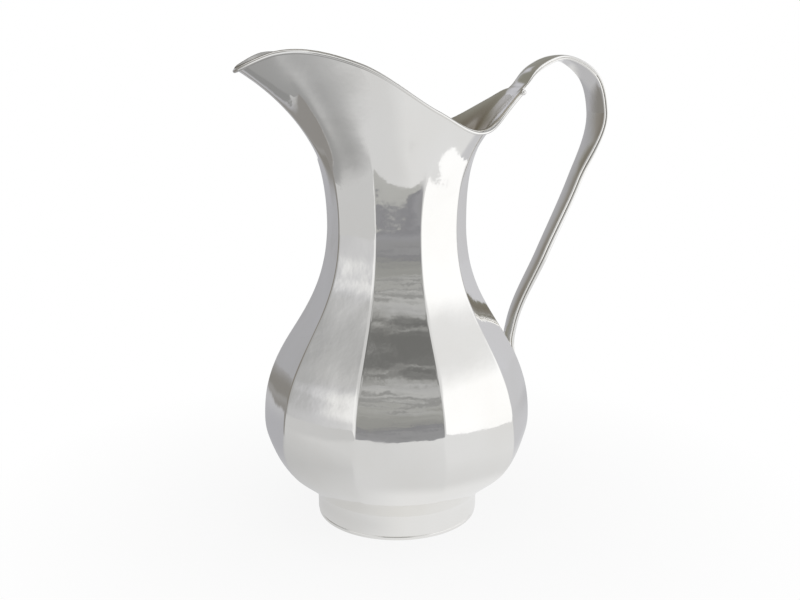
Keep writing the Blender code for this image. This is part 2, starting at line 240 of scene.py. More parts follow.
def rim_point(angle):
    """A place on the lip's edge, and how far the lip leans outward there."""
    degrees = math.degrees(angle)
    side = 1.0 if degrees >= 0.0 else -1.0
    before = RIM_STATIONS[1]
    after = RIM_STATIONS[-2]
    mirror = Vector((1.0, -1.0, 1.0))
    knots = [-before[0]] + [station[0] for station in RIM_STATIONS] + [360.0 - after[0]]
    places = [Vector(station[1]) for station in RIM_STATIONS]
    places = [Vector(before[1]) * mirror] + places + [Vector(after[1]) * mirror]
    leans = [before[2]] + [station[2] for station in RIM_STATIONS] + [after[2]]
    place = spline(knots, places, abs(degrees))
    place.y *= side
    return place, math.radians(spline(knots, leans, abs(degrees)))


def rim_frame(angle):
    """A place on the lip's edge, the way the sheet rises there, and its outward normal."""
    step = math.radians(0.5)
    point, lean = rim_point(angle)
    along = (rim_point(angle + step)[0] - rim_point(angle - step)[0]).normalized()
    outward = Vector((math.cos(angle), math.sin(angle), 0.0))
    rise = outward * math.sin(lean) + Vector((0.0, 0.0, math.cos(lean)))
    return point, rise, along.cross(rise).normalized()


def lip_point(t, angle, edge):
    """A point between the neck, at 0, and the lip's edge, at 1."""
    roundness = smooth_step((t - PANEL_FADE_START) / (PANEL_FADE_END - PANEL_FADE_START))
    start = section_point(NECK_RADIUS, NECK_HEIGHT, angle, roundness)
    end, rise, _ = edge
    chord = (end - start).length
    ease = smooth_step(t)
    lead = t * (1.0 - t) ** 2 * chord * LIP_EASE_AT_NECK
    trail = t * t * (t - 1.0) * chord * LIP_EASE_AT_RIM
    return start * (1.0 - ease) + end * ease + Vector((0.0, 0.0, lead)) + rise * trail


def hammered(point):
    """The slight unevenness that raising and planishing leave, as a depth along the radius."""
    wave = noise.noise(point * WAVE_SCALE + Vector((3.1, 7.7, 1.3)))
    ripple = noise.noise(point * RIPPLE_SCALE + Vector((9.2, 2.4, 5.6)))
    return wave * WAVE_DEPTH + ripple * RIPPLE_DEPTH


# Meshes

def piece(name, mesh, material, replaced):
    """A dressed piece that stands for one of the solids."""
    obj = bpy.data.objects.new(name, mesh)
    bpy.context.scene.collection.objects.link(obj)
    mesh.materials.append(material)
    mesh.shade_smooth()
    obj.location = AXIS
    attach(obj, "root")
    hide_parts(replaced)
    return obj


def lofted(name, rings, caps=False, closed=False):
    """A mesh through rings of points, its ends open, capped or joined to each other."""
    mesh = bmesh.new()
    grid = [[mesh.verts.new(point) for point in ring] for ring in rings]
    count = len(rings[0])
    pairs = list(zip(grid, grid[1:]))
    if closed:
        pairs.append((grid[-1], grid[0]))
    for lower, upper in pairs:
        for i in range(count):
            j = (i + 1) % count
            mesh.faces.new((lower[i], lower[j], upper[j], upper[i]))
    if caps:
        mesh.faces.new(reversed(grid[0]))
        mesh.faces.new(grid[-1])
    if caps or closed:
        bmesh.ops.recalc_face_normals(mesh, faces=mesh.faces)
    data = bpy.data.meshes.new(name)
    mesh.to_mesh(data)
    mesh.free()
    return data


def turned(name, profile, segments=192):
    """A solid of revolution from a closed (radius, height) profile."""
    rings = []
    for i in range(segments):
        turn = 2.0 * math.pi * i / segments
        rings.append([Vector((r * math.cos(turn), r * math.sin(turn), z)) for r, z in profile])
    return lofted(name, rings, closed=True)


def rounded(corners, radius, steps):
    """A closed (radius, height) profile with its corners rounded over."""
    profile = []
    count = len(corners)
    for i, corner in enumerate(corners):
        here = Vector(corner)
        before = Vector(corners[i - 1]) - here
        after = Vector(corners[(i + 1) % count]) - here
        cut = min(radius, 0.45 * before.length, 0.45 * after.length)
        start = here + before.normalized() * cut
        end = here + after.normalized() * cut
        profile += [arc(start, here, end, k / steps) for k in range(steps + 1)]
    return profile


# Shader nodes

def feed(tree, value, socket):
    """Set a socket to a number or a colour, or link it to what another node gives."""
    if isinstance(value, (int, float)):
        socket.default_value = value
    elif isinstance(value, tuple):
        socket.default_value = (*value, 1.0)
    else:
        tree.links.new(value, socket)


def math_node(tree, operation, *values):
    node = tree.nodes.new("ShaderNodeMath")
    node.operation = operation
    for socket, value in zip(node.inputs, values):
        feed(tree, value, socket)
    return node.outputs["Value"]


def product(tree, total, *factors):
    for factor in factors:
        total = math_node(tree, "MULTIPLY", total, factor)
    return total


def dot_node(tree, vector, direction):
    node = tree.nodes.new("ShaderNodeVectorMath")
    node.operation = "DOT_PRODUCT"
    node.inputs[1].default_value = direction
    tree.links.new(vector, node.inputs[0])
    return node.outputs["Value"]


def span(tree, value, low, high, start=0.0, end=1.0, smooth=True):
    """The start below the low value, the end above the high one, and a soft or an even passage between."""
    node = tree.nodes.new("ShaderNodeMapRange")
    node.interpolation_type = "SMOOTHSTEP" if smooth else "LINEAR"
    for name, number in (("From Min", low), ("From Max", high), ("To Min", start), ("To Max", end)):
        node.inputs[name].default_value = number
    tree.links.new(value, node.inputs["Value"])
    return node.outputs["Result"]


def under(tree, value, low, high):
    """1 below the low value, 0 above the high one."""
    return math_node(tree, "SUBTRACT", 1.0, span(tree, value, low, high))


def ramp(tree, value, stops):
    node = tree.nodes.new("ShaderNodeValToRGB")
    elements = node.color_ramp.elements
    while len(elements) > 1:
        elements.remove(elements[-1])
    for i, (position, colour) in enumerate(stops):
        element = elements[0] if i == 0 else elements.new(position)
        element.position = position
        element.color = (*colour, 1.0)
    tree.links.new(value, node.inputs["Fac"])
    return node.outputs["Color"]


def mixed(tree, factor, first, second):
    node = tree.nodes.new("ShaderNodeMix")
    node.data_type = "RGBA"
    for index, value in ((0, factor), (6, first), (7, second)):
        feed(tree, value, node.inputs[index])
    return node.outputs[2]


def noise_node(tree, vector, scale, detail, roughness=0.5, distortion=0.0):
    node = tree.nodes.new("ShaderNodeTexNoise")
    node.inputs["Scale"].default_value = scale
    node.inputs["Detail"].default_value = detail
    node.inputs["Roughness"].default_value = roughness
    node.inputs["Distortion"].default_value = distortion
    tree.links.new(vector, node.inputs["Vector"])
    return node.outputs["Fac"]


def bump_node(tree, height, strength, distance):
    node = tree.nodes.new("ShaderNodeBump")
    node.inputs["Strength"].default_value = strength
    node.inputs["Distance"].default_value = distance
    tree.links.new(height, node.inputs["Height"])
    return node


def glow(tree, colour):
    node = tree.nodes.new("ShaderNodeEmission")
    feed(tree, colour, node.inputs["Color"])
    return node.outputs["Emission"]


def blended(tree, factor, first, second):
    node = tree.nodes.new("ShaderNodeMixShader")
    for socket, value in zip(node.inputs, (factor, first, second)):
        tree.links.new(value, socket)
    return node.outputs["Shader"]


def new_material(name):
    material = bpy.data.materials.new(name)
    material.use_nodes = True
    return material, material.node_tree


def grey(level, blue=0.0):
    return (level, level, level * (1.0 + blue))


# Silver

DRIFT_SCALE = 26.0
WIPE_STRETCH = (1.0, 1.0, 0.16)
WIPE_SCALE = 120.0
WIPE_DULLNESS = 0.07
HAIRLINE_SCALE = 900.0
HAIRLINE_DEPTH = 0.00004
PLANISH_SCALE = 150.0
PLANISH_DEPTH = 0.00005
TARNISH_DULLNESS = 0.34
TARNISH_SCRATCH = 0.20
SATIN_BAND = (0.10, 0.55)
SATIN_DULLNESS = 0.24
POLISHED_BAND = (0.70, 0.96)

BRIGHT = (0.955, 0.950, 0.935)
WARM = (0.925, 0.915, 0.890)
SATIN = (0.930, 0.915, 0.885)


def silver(name, colour, worn, roughness, scratch):
    """Polished silver: its tone drifts a little, and wiping has left faint dull streaks and hairlines."""
    material, tree = new_material(name)
    shader = tree.nodes["Principled BSDF"]
    shader.inputs["Metallic"].default_value = 1.0
    place = tree.nodes.new("ShaderNodeTexCoord").outputs["Object"]
    stretch = tree.nodes.new("ShaderNodeMapping")
    stretch.inputs["Scale"].default_value = WIPE_STRETCH
    tree.links.new(place, stretch.inputs["Vector"])
    wiped = stretch.outputs["Vector"]

    drift = noise_node(tree, place, DRIFT_SCALE, 4.0)
    tone = ramp(tree, drift, ((0.30, worn), (0.62, colour)))
    tree.links.new(tone, shader.inputs["Base Color"])
    streaks = noise_node(tree, wiped, WIPE_SCALE, 6.0, roughness=0.7)
    dull = span(tree, streaks, 0.35, 0.75, roughness, roughness + WIPE_DULLNESS, smooth=False)
    tree.links.new(dull, shader.inputs["Roughness"])

    hairline = bump_node(tree, noise_node(tree, wiped, HAIRLINE_SCALE, 3.0), scratch, HAIRLINE_DEPTH)
    planish = bump_node(tree, noise_node(tree, place, PLANISH_SCALE, 2.0), 1.0, PLANISH_DEPTH)
    tree.links.new(hairline.outputs["Normal"], planish.inputs["Normal"])
    tree.links.new(planish.outputs["Normal"], shader.inputs["Normal"])
    return material


def tarnish(name, colour, deep):
    """The dull film that polishing leaves in seams and along bare edges."""
    return silver(name, colour, deep, TARNISH_DULLNESS, TARNISH_SCRATCH)


def shade_inside(material):
    """The inside is satin below, darker and warm at the throat, which is painted shade inside the hollow, and
    polished near the edge of the lip.
    """
    tree = material.node_tree
    shader = tree.nodes["Principled BSDF"]
    attribute = tree.nodes.new("ShaderNodeAttribute")
    attribute.attribute_name = "lip"
    lip = attribute.outputs["Fac"]

    # The drift tone, dark and warm, is kept only at the throat as painted shade inside the hollow.
    tone = shader.inputs["Base Color"].links[0].from_socket
    tone = mixed(tree, span(tree, lip, *SATIN_BAND, 1.0, 0.0, smooth=False), tone, SATIN)
    tone = mixed(tree, span(tree, lip, *POLISHED_BAND, smooth=False), tone, WARM)
    tree.links.new(tone, shader.inputs["Base Color"])
    dull = shader.inputs["Roughness"].links[0].from_socket
    satin = span(tree, lip, *SATIN_BAND, SATIN_DULLNESS, 0.0, smooth=False)
    tree.links.new(math_node(tree, "ADD", dull, satin), shader.inputs["Roughness"])


body_silver = silver("body_silver", BRIGHT, WARM, 0.030, 0.08)
rim_silver = silver("rim_silver", BRIGHT, (0.90, 0.885, 0.85), 0.045, 0.06)
foot_silver = silver("foot_silver", BRIGHT, WARM, 0.09, 0.16)
handle_silver = silver("handle_silver", BRIGHT, (0.92, 0.91, 0.88), 0.035, 0.05)
grip_silver = silver("grip_silver", (0.94, 0.935, 0.92), (0.89, 0.875, 0.84), 0.045, 0.06)
seam_tarnish = tarnish("seam_tarnish", (0.56, 0.53, 0.46), (0.42, 0.39, 0.32))
edge_tarnish = tarnish("edge_tarnish", (0.46, 0.43, 0.37), (0.34, 0.31, 0.26))
# The inside's dark warm tone is painted shade inside the hollow; shade_inside keeps it at the throat.
inside_silver_and_shade = silver("inside_silver_and_shade", (0.60, 0.55, 0.48), (0.50, 0.45, 0.38), 0.14, 0.20)
shade_inside(inside_silver_and_shade)
base_silver = silver("base_silver", (0.88, 0.87, 0.84), (0.78, 0.76, 0.71), 0.22, 0.30)


# Body

def column_angles():
    """Upright lines of the body, closer together at the ribs."""
    near_rib = (0.0, 0.7, 1.4, 2.1, 2.8, 3.6, 4.8, 6.4, 8.4, 10.8, 13.4)
    panel_width = 360.0 / PANELS
    across = list(near_rib) + [panel_width / 2] + [panel_width - a for a in reversed(near_rib[1:])]
    first_rib = -180.0 - panel_width / 2
    angles = []
    for panel in range(PANELS):
        angles += [math.radians(first_rib + panel_width * panel + a) for a in across]
    return [angle if angle > -math.pi else angle + 2.0 * math.pi for angle in angles]


def body_shell():
    """The sheet of the body: rings of its outer face from foot to lip, with the wall inside them."""
    angles = column_angles()
    edges = {angle: rim_frame(angle) for angle in angles}
    lower_rows, upper_rows, lip_rows = 46, 64, 60
    crowding = 1.4
    below = BELLY_HEIGHT - FOOT_HEIGHT
    above = NECK_HEIGHT - BELLY_HEIGHT
    heights = [FOOT_HEIGHT + below * (i / lower_rows) ** crowding for i in range(lower_rows)]
    heights += [BELLY_HEIGHT + above * i / upper_rows for i in range(upper_rows)]
    steps = [i / lip_rows for i in range(lip_rows)] + [0.990, 0.996, 1.0]
    rings = []
    for height in heights:
        radius = rib_radius(height)
        rings.append([belly_point(height, angle, radius) for angle in angles])
    for t in steps:
        rings.append([lip_point(t, angle, edges[angle]) for angle in angles])
    for ring in rings:
        for point in ring:
            fade = smooth_step((point.z - FOOT_HEIGHT) / HAMMERED_FROM_FOOT)
            flat = Vector((point.x, point.y, 0.0))
            point += flat.normalized() * hammered(point) * fade
    data = lofted("pitcher_body", rings)
    depths = data.attributes.new("lip", "FLOAT", "POINT")
    lips = [0.0] * len(heights) + steps
    depths.data.foreach_set("value", [lip for lip in lips for _ in angles])
    obj = piece("pitcher_body", data, body_silver, "body_shell")
    sheet = obj.modifiers.new("Sheet", "SOLIDIFY")
    sheet.thickness = WALL
    sheet.offset = -1.0
    sheet.use_even_offset = True
    data.materials.append(inside_silver_and_shade)
    data.materials.append(edge_tarnish)
    sheet.material_offset = 1
    sheet.material_offset_rim = 2
    return obj


def base_plate():
    """The slightly domed disc inside the body's lower edge."""
    radius = BASE_RADIUS - WALL
    rings = 12
    top = [(radius * i / rings, BASE_DOME * (1.0 - (i / rings) ** 2)) for i in range(rings + 1)]
    top[0] = (DOME_PIN, BASE_DOME)
    profile = [(r, FOOT_HEIGHT + rise + WALL) for r, rise in top]
    profile += [(r, FOOT_HEIGHT + rise) for r, rise in reversed(top)]
    return piece("pitcher_base", turned("pitcher_base", profile, 96), base_silver, "base_plate")


def foot_ring():
    """The upright band, with the fillet of solder that runs from it onto the belly."""
    inner = FOOT_RADIUS - FOOT_STRIP
    bottom = FOOT_WIRE_HEIGHT
    landing = FOOT_HEIGHT + FOOT_FILLET_RISE
    start = Vector((rib_radius(landing) - FOOT_FILLET_SINK, landing))
    corner = Vector((FOOT_RADIUS, FOOT_HEIGHT))
    end = Vector((FOOT_RADIUS, FOOT_HEIGHT - FOOT_FILLET_DROP))
    fillet_steps = 16
    profile = [(inner, bottom), (inner, FOOT_HEIGHT), (BASE_RADIUS - CLEARANCE, FOOT_HEIGHT)]
    profile += [arc(start, corner, end, k / fillet_steps) for k in range(fillet_steps + 1)]
    profile += [(FOOT_RADIUS, height) for height in (*FOOT_ROWS, bottom + FOOT_EDGE_ROUND)]
    profile.append((FOOT_RADIUS - 0.25 * FOOT_EDGE_ROUND, bottom + 0.30 * FOOT_EDGE_ROUND))
    profile.append((FOOT_RADIUS - FOOT_EDGE_ROUND, bottom))
    return piece("pitcher_foot", turned("pitcher_foot", profile), foot_silver, "foot_ring")


def foot_wire():
    """The wire under the foot ring, its edges rounded over, which touches the table."""
    outer = FOOT_RADIUS - CLEARANCE
    inner = outer - FOOT_WIRE_WIDTH
    corners = [(outer, FOOT_WIRE_HEIGHT), (outer, 0.0), (inner, 0.0), (inner, FOOT_WIRE_HEIGHT)]
    data = turned("pitcher_foot_wire", rounded(corners, FOOT_WIRE_ROUND, 6))
    return piece("pitcher_foot_wire", data, foot_silver, "foot_wire")


# Rim

def rim_wire():
    """The round wire outside the lip's edge, from one bead round the spout to the other."""
    ends = math.radians(RIM_STATIONS[2][0])
    count, sides = 300, 14
    rings = []
    for i in range(count + 1):
        angle = ends + (2.0 * math.pi - 2.0 * ends) * i / count
        angle = angle if angle <= math.pi else angle - 2.0 * math.pi
        point, rise, normal = rim_frame(angle)
        middle = point - rise * RIM_WIRE_RADIUS + normal * (RIM_WIRE_RADIUS + RIM_WIRE_GAP)
        ring = []
        for k in range(sides):
            turn = 2.0 * math.pi * k / sides
            ring.append(middle + (normal * math.cos(turn) + rise * math.sin(turn)) * RIM_WIRE_RADIUS)
        rings.append(ring)
    data = lofted("pitcher_rim_wire", rings, caps=True)
    return piece("pitcher_rim_wire", data, rim_silver, "rim_wire")


def rim_bead(name, side, replaced):
    """The small ball that ends the rim wire beside the handle's root."""
    point, rise, normal = rim_frame(side * math.radians(RIM_STATIONS[2][0]))
    middle = point + rise * BEAD_LIFT + normal * RIM_WIRE_RADIUS
    mesh = bmesh.new()
    bmesh.ops.create_uvsphere(mesh, u_segments=40, v_segments=24, radius=BEAD_RADIUS)
    bmesh.ops.translate(mesh, verts=mesh.verts, vec=middle)
    data = bpy.data.meshes.new(name)
    mesh.to_mesh(data)
    mesh.free()
    return piece(name, data, rim_silver, replaced)


# Handle

def panel_seat(height):
    """The middle of the rear panel at a height, and its outward normal."""
    step = 0.0005
    place = belly_point(height, 0.0)
    along = belly_point(height + step, 0.0) - belly_point(height - step, 0.0)
    return place, Vector((along.z, 0.0, -along.x)).normalized()


def handle_stations():
    """Places along the seam, each with the strips' width and the outer strip's thickness."""
    seam_offset = INNER_STRIP_THICKNESS + CLEARANCE / 2
    root, rise, normal = rim_frame(0.0)
    root = root + rise * CLEARANCE - normal * seam_offset
    before = root - rise * HANDLE_ROOT_THICKNESS
    stations = [(place, HANDLE_ROOT_WIDTH, HANDLE_ROOT_THICKNESS) for place in (before, root)]
    stations += [(Vector((x, 0.0, z)), width, thickness) for (x, z), width, thickness in HANDLE_PATH]
    for height, lift, width, thickness in TAIL:
        seat, outward = panel_seat(height)
        stations.append((seat + outward * (seam_offset + CLEARANCE + lift), width, thickness))
    return stations


def strip_section(thickness):
    """Places across the strip, from -1 to 1, and heights above the seam: a broad face and round shoulders."""
    steps = 28
    base = STRIP_SIDE * thickness
    crown = []
    for i in range(steps + 1):
        a = -math.cos(math.pi * i / steps)
        crown.append((a, base + (thickness - base) * math.sqrt(max(0.0, 1.0 - a * a))))
    return [(-STRIP_FLAT, 0.0), (-1.0, SEAM_EASE)] + crown + [(1.0, SEAM_EASE), (STRIP_FLAT, 0.0)]


def tongue_rings(section):
    """The outer strip's feathered end: it rises out of the tongue, from its thin tip up to the lip's edge."""
    edge = rim_frame(0.0)
    step = 0.004
    sunk = WALL - TONGUE_SINK
    rings = []
    for i in range(TONGUE_STEPS):
        u = 1.0 - i / TONGUE_STEPS
        t = 1.0 - TONGUE_REACH * u
        along = lip_point(t, 0.0, edge) - lip_point(t - step, 0.0, edge)
        normal = Vector((-along.z, 0.0, along.x)).normalized()
        half = HANDLE_ROOT_WIDTH / 2 - TONGUE_TAPER * u * u
        lift = (WALL + SEAM_GAP / 2 - sunk) * (1.0 - smooth_step(u / FEATHER_RISE))
        thin = OUTER_ROOT_THIN - (OUTER_ROOT_THIN - FEATHER_THIN) * smooth_step(u)
        base = lip_point(t, 0.0, edge) + normal * sunk
        ring = []
        for a, share in section:
            raised = lift + share * thin if share else 0.0
            ring.append(base + Vector((0.0, a * half, 0.0)) + normal * raised)
        rings.append(ring)
    return rings


def solder_fill(crown):
    """How far the solder under the tail reaches from the strip's face towards the rear panel."""
    seat, outward = panel_seat(crown.z)
    gap = (crown - seat).dot(outward)
    return max(gap - SOLDER_GAP, 0.0) * (1.0 - smooth_step((gap - SOLDER_FULL) / SOLDER_FADE))


def handle_strip(name, side, material, replaced):
    """One strip of the handle, thinned towards the root so that the strap flows out of the tongue."""
    stations = handle_stations()
    places = [place for place, _, _ in stations]
    widths = [width for _, width, _ in stations]
    thicknesses = [outer if side > 0.0 else INNER_STRIP_THICKNESS for _, _, outer in stations]
    knots = [0.0]
    for before, after in zip(places, places[1:]):
        knots.append(knots[-1] + (after - before).length)
    start = knots[1] - CLEARANCE
    length = knots[-1] - start
    root_thin = OUTER_ROOT_THIN if side > 0.0 else INNER_ROOT_THIN
    steps = 190
    step = length / steps / 2
    rings = tongue_rings(strip_section(HANDLE_ROOT_THICKNESS)) if side > 0.0 else []
    for i in range(steps + 1):
        t = start + length * i / steps
        place = spline(knots, places, t)
        half = eased(knots, widths, t) / 2
        thickness = eased(knots, thicknesses, t)
        section = strip_section(thickness)
        along = spline(knots, places, min(t + step, knots[-1])) - spline(knots, places, t - step)
        outward = Vector((-along.z, 0.0, along.x)).normalized()
        grown = smooth_step((t - start) / ROOT_LENGTH)
        thin = root_thin + (1.0 - root_thin) * grown
        seam = place + outward * (side * SEAM_GAP / 2 - (INNER_STRIP_THICKNESS / 2) * (1.0 - grown))
        fill = solder_fill(seam - outward * thickness * thin) if side < 0.0 else 0.0
        ring = []
        for a, share in section:
            depth = share * thin + (fill if share > SEAM_EASE else 0.0)
            ring.append(seam + Vector((0.0, a * half, 0.0)) + outward * side * depth)
        rings.append(ring)
    data = lofted(name, rings, caps=True)
    obj = piece(name, data, material, replaced)
    data.materials.append(seam_tarnish)
    count = len(section)
    groove = (0, count - 2, count - 1)
    first = len(rings) - steps - 1 + round(SEAM_START / length * steps)
    for face in data.polygons:
        if len(face.vertices) == 4 and face.index % count in groove and face.index // count >= first:
            face.material_index = 1
    return obj


body_shell()
base_plate()
foot_ring()
foot_wire()
rim_wire()
rim_bead("pitcher_bead_near", -1.0, "rim_bead_near")
rim_bead("pitcher_bead_far", 1.0, "rim_bead_far")
handle_strip("pitcher_handle_outer", 1.0, handle_silver, "handle_outer_strip")
handle_strip("pitcher_handle_inner", -1.0, grip_silver, "handle_inner_strip")


# Camera

CAMERA_HEIGHT = 0.2270
CAMERA_REACH = 0.4906
CAMERA_TURN = math.radians(19.39)
AIM_TURN = math.radians(19.58)
AIM_TILT = math.radians(12.95)
SENSOR_WIDTH = 36.0
LENS = 43.85

camera_data = bpy.data.cameras.new("camera")
camera_data.sensor_width = SENSOR_WIDTH
camera_data.lens = LENS
camera_data.clip_start = 0.01
camera = bpy.data.objects.new("camera", camera_data)
bpy.context.scene.collection.objects.link(camera)
toward = Vector((-math.sin(CAMERA_TURN), -math.cos(CAMERA_TURN), 0.0))
aside = Vector((math.cos(CAMERA_TURN), -math.sin(CAMERA_TURN), 0.0))
aim = Vector((
    math.sin(AIM_TURN) * math.cos(AIM_TILT),
    math.cos(AIM_TURN) * math.cos(AIM_TILT),
    -math.sin(AIM_TILT),
))
right = Vector((math.cos(AIM_TURN), -math.sin(AIM_TURN), 0.0))
up = right.cross(aim)
stand = Matrix.Translation(AXIS + toward * CAMERA_REACH + Vector((0.0, 0.0, CAMERA_HEIGHT)))
camera.matrix_world = stand @ Matrix((right, up, -aim)).transposed().to_4x4()
bpy.context.scene.camera = camera


# Studio tones, by bearing in degrees from the camera, positive to the right

DEGREES = 180.0 / math.pi
BACK_DARK = (0.27, 0.265, 0.235)
TONGUE_PALE = grey(0.57, 0.06)
LOW_TONES = (
    (-180.0, grey(1.0)),
    (-168.0, grey(1.0)),
    (-162.0, grey(0.44, 0.04)),
    (-143.0, grey(0.42, 0.05)),
    (-134.0, grey(0.37, 0.02)),
    (-127.0, (0.27, 0.255, 0.235)),
    (-120.0, (0.22, 0.205, 0.18)),
    (-110.0, (0.22, 0.20, 0.175)),
    (-98.0, (0.27, 0.26, 0.245)),
    (-84.0, grey(0.43)),
    (-72.0, grey(0.58, 0.02)),
    (-60.0, grey(0.78)),
    (-48.0, grey(0.92)),
    (-24.0, grey(0.70)),
    (24.0, grey(0.62)),
    (40.0, grey(0.70)),
    (50.0, grey(1.06)),
    (108.0, grey(1.06)),
    (122.0, grey(0.74)),
    (134.0, grey(0.60, 0.04)),
    (168.0, grey(0.60, 0.03)),
    (176.0, grey(1.0)),
    (180.0, grey(1.0)),
)
LEFT_TONES = (
    (-84.0, grey(0.36)),
    (-75.5, grey(0.43)),
    (-73.5, grey(0.53, 0.02)),
    (-72.0, grey(0.62, 0.02)),
    (-70.5, grey(0.75)),
    (-69.0, grey(0.86)),
    (-64.0, grey(0.93)),
)
LEFT_SHIFT = 1.5
HIGH_TONES = (
    (-180.0, grey(0.80)),
    (-90.0, grey(0.38)),
    (-80.5, grey(0.39)),
    (-79.5, grey(0.42)),
    (-78.5, grey(0.46)),
    (-77.0, grey(0.48)),
    (-75.5, grey(0.54)),
    (-74.0, grey(0.61)),
    (-50.0, grey(0.61)),
    (50.0, grey(0.72)),
    (80.0, grey(0.80)),
    (180.0, grey(0.80)),
)
BACK_TONES = (
    (-180.0, BACK_DARK),
    (-168.0, BACK_DARK),
    (-165.0, grey(0.48, 0.05)),
    (-160.0, grey(0.57, 0.06)),
    (-156.0, grey(0.53, 0.06)),
    (-152.5, (0.25, 0.245, 0.21)),
    (-125.0, (0.21, 0.195, 0.165)),
    (-100.0, (0.28, 0.27, 0.255)),
    (100.0, grey(0.70)),
    (112.0, grey(0.38)),
    (140.0, grey(0.34)),
    (165.0, grey(0.32)),
    (180.0, BACK_DARK),
)

# Tones of the room in front, by height in degrees: level and blueness
ROOM_LOW = -20.0
ROOM_SPAN = 80.0
ROOM_TONES = (
    (-10.6, 0.45, -0.03),
    (-10.45, 0.56, -0.06),
    (-10.25, 0.56, -0.06),
    (-10.1, 0.245, 0.06),
    (-8.8, 0.255, 0.06),
    (-7.2, 0.31, 0.05),
    (-4.5, 0.30, 0.03),
    (-1.0, 0.29, 0.02),
    (1.5, 0.25, 0.04),
    (3.5, 0.24, 0.04),
    (5.0, 0.30, -0.04),
    (11.0, 0.32, -0.04),
    (18.0, 0.38, -0.04),
    (20.5, 0.42, -0.02),
    (22.0, 0.29, -0.02),
    (26.0, 0.30, -0.02),
    (28.0, 0.48, -0.02),
    (33.0, 0.44, 0.0),
    (36.0, 0.38, -0.02),
    (38.0, 0.31, -0.03),
    (41.0, 0.22, -0.03),
    (45.0, 0.165, -0.03),
)


def around(stops):
    return [(0.5 + bearing / 360.0, colour) for bearing, colour in stops]


def side_tones(tree, turn, degrees, elevation):
    """Tones round the pitcher, with finer ones for the left panel and plainer ones above."""
    low = ramp(tree, turn, around(LOW_TONES))
    lit = math_node(tree, "SUBTRACT", span(tree, elevation, 11.0, 15.0), span(tree, elevation, 17.0, 22.0))
    left = ramp(tree, math_node(tree, "MULTIPLY_ADD", lit, LEFT_SHIFT / 360.0, turn), around(LEFT_TONES))
    leftward = product(tree, span(tree, degrees, -86.0, -78.0), under(tree, degrees, -62.0, -52.0))
    low = mixed(tree, product(tree, leftward, span(tree, elevation, 0.0, 6.0)), low, left)
    high = ramp(tree, turn, around(HIGH_TONES))
    return mixed(tree, span(tree, elevation, 18.0, 30.0), low, high)


def with_back(tree, turn, degrees, elevation, tones):
    """The tones with the dim wall behind the pitcher, and the pale window that the tongue mirrors."""
    away = math_node(tree, "ABSOLUTE", degrees)
    straight = product(tree, span(tree, away, 154.0, 160.0), under(tree, elevation, 22.0, 26.0))
    back = mixed(tree, straight, ramp(tree, turn, around(BACK_TONES)), BACK_DARK)
    over_window = product(tree, under(tree, degrees, -153.0, -150.0), span(tree, elevation, 28.0, 30.0))
    back = mixed(tree, over_window, back, (0.26, 0.25, 0.22))
    raised = product(tree, straight, span(tree, elevation, 8.0, 15.0))
    above = math_node(tree, "MAXIMUM", span(tree, elevation, 19.0, 24.0), raised)
    tones = mixed(tree, product(tree, span(tree, away, 100.0, 112.0), above), tones, back)

    sloped = math_node(tree, "ADD", elevation, math_node(tree, "MULTIPLY_ADD", degrees, -0.25, -44.5))
    pale_top = span(tree, sloped, 15.8, 18.2)
    pale = math_node(tree, "SUBTRACT", span(tree, elevation, 2.0, 4.0), pale_top)
    return mixed(tree, product(tree, pale, under(tree, degrees, -166.0, -160.0)), tones, TONGUE_PALE)


def with_room(tree, bearing, degrees, elevation, tones):
    """The tones with the uneven room in front, which the middle panel mirrors."""
    place = tree.nodes.new("ShaderNodeCombineXYZ")
    lean = math_node(tree, "MULTIPLY", elevation, 0.035)
    feed(tree, math_node(tree, "MULTIPLY_ADD", bearing, 3.2, lean), place.inputs["X"])
    feed(tree, math_node(tree, "MULTIPLY", elevation, 0.12), place.inputs["Y"])
    cloud = noise_node(tree, place.outputs["Vector"], 1.7, 5.0, roughness=0.62, distortion=0.9)
    risen = span(tree, elevation, -8.5, 4.0)
    swing = math_node(tree, "MULTIPLY_ADD", risen, 38.8, 1.2)
    tilt = product(tree, math_node(tree, "SUBTRACT", 1.0, risen), 0.065, degrees)
    uneven = math_node(tree, "MULTIPLY_ADD", math_node(tree, "SUBTRACT", cloud, 0.5), swing, tilt)
    height = math_node(tree, "ADD", elevation, uneven)
    shelf = math_node(tree, "MULTIPLY_ADD", height, 1.0 / ROOM_SPAN, -ROOM_LOW / ROOM_SPAN)
    stops = [((rise - ROOM_LOW) / ROOM_SPAN, grey(level, blue)) for rise, level, blue in ROOM_TONES]
    room = ramp(tree, shelf, stops)
    front = under(tree, math_node(tree, "ABSOLUTE", degrees), 17.0, 27.0)
    return mixed(tree, product(tree, front, under(tree, elevation, 50.0, 64.0)), tones, room)


